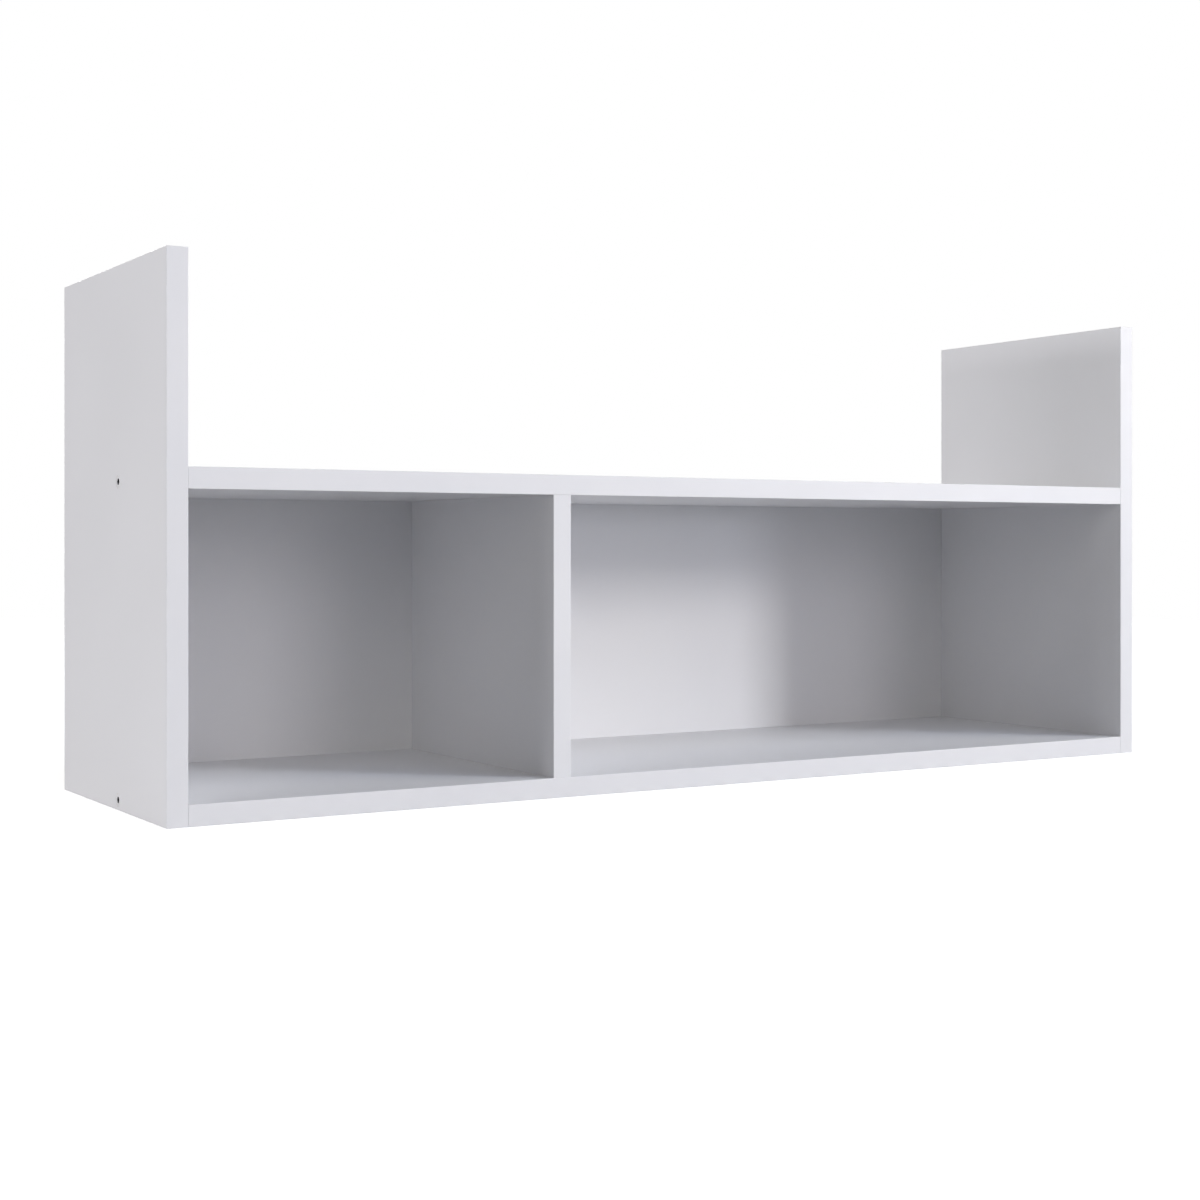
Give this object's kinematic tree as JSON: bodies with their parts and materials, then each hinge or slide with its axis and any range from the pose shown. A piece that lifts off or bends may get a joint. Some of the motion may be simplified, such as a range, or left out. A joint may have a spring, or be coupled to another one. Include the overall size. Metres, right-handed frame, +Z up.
{
  "type": "desk hutch",
  "caption": "Low open hutch that stands on a desk: two tall sides, an upper and a lower shelf, a divider left of centre, and a back that closes the two compartments under the upper shelf.",
  "frame": {"origin": "middle of the footprint, on the surface that the hutch stands on", "axes": "+X to the right of someone who faces the open front, +Y towards the back, +Z up"},
  "size_m": [0.966, 0.26, 0.413],
  "materials": {
    "white_board": "matt white melamine laminate with a fine pearl texture, over raw chipboard where it is drilled or left unbanded",
    "edge_band": "smooth white ABS edge band",
    "hardboard": "white lacquered hardboard face, raw brown rear face",
    "lacquered_screw": "white lacquered head on a zinc plated screw",
    "zinc_nail": "bright zinc plated",
    "beech_dowel": "raw fluted beech"
  },
  "bodies": {
    "root": {"left_side_panel": "white_board", "right_side_panel": "white_board", "top_shelf": "white_board", "bottom_shelf": "white_board", "divider": "white_board", "back_panel": "hardboard", "left_side_band_front": "edge_band", "left_side_band_rear": "edge_band", "left_side_band_top": "edge_band", "left_side_band_bottom": "edge_band", "right_side_band_front": "edge_band", "right_side_band_rear": "edge_band", "right_side_band_top": "edge_band", "right_side_band_bottom": "edge_band", "top_shelf_band_front": "edge_band", "bottom_shelf_band_front": "edge_band", "divider_band_front": "edge_band", "screw_left_bottom": "lacquered_screw", "screw_left_top": "lacquered_screw", "screw_right_bottom": "lacquered_screw", "screw_right_top": "lacquered_screw", "screw_divider_bottom": "lacquered_screw", "screw_divider_top": "lacquered_screw", "dowel_left_bottom_front": "beech_dowel", "dowel_left_bottom_rear": "beech_dowel", "dowel_left_top_front": "beech_dowel", "dowel_left_top_rear": "beech_dowel", "dowel_right_bottom_front": "beech_dowel", "dowel_right_bottom_rear": "beech_dowel", "dowel_right_top_front": "beech_dowel", "dowel_right_top_rear": "beech_dowel", "dowel_divider_bottom_front": "beech_dowel", "dowel_divider_bottom_rear": "beech_dowel", "dowel_divider_top_front": "beech_dowel", "dowel_divider_top_rear": "beech_dowel", "nail_bottom_1": "zinc_nail", "nail_bottom_2": "zinc_nail", "nail_bottom_3": "zinc_nail", "nail_bottom_4": "zinc_nail", "nail_bottom_5": "zinc_nail", "nail_bottom_6": "zinc_nail", "nail_bottom_7": "zinc_nail", "nail_bottom_8": "zinc_nail", "nail_top_1": "zinc_nail", "nail_top_2": "zinc_nail", "nail_top_3": "zinc_nail", "nail_top_4": "zinc_nail", "nail_top_5": "zinc_nail", "nail_top_6": "zinc_nail", "nail_top_7": "zinc_nail", "nail_top_8": "zinc_nail", "nail_left_1": "zinc_nail", "nail_left_2": "zinc_nail", "nail_right_1": "zinc_nail", "nail_right_2": "zinc_nail", "nail_divider_1": "zinc_nail", "nail_divider_2": "zinc_nail"}
  },
  "joints": []
}
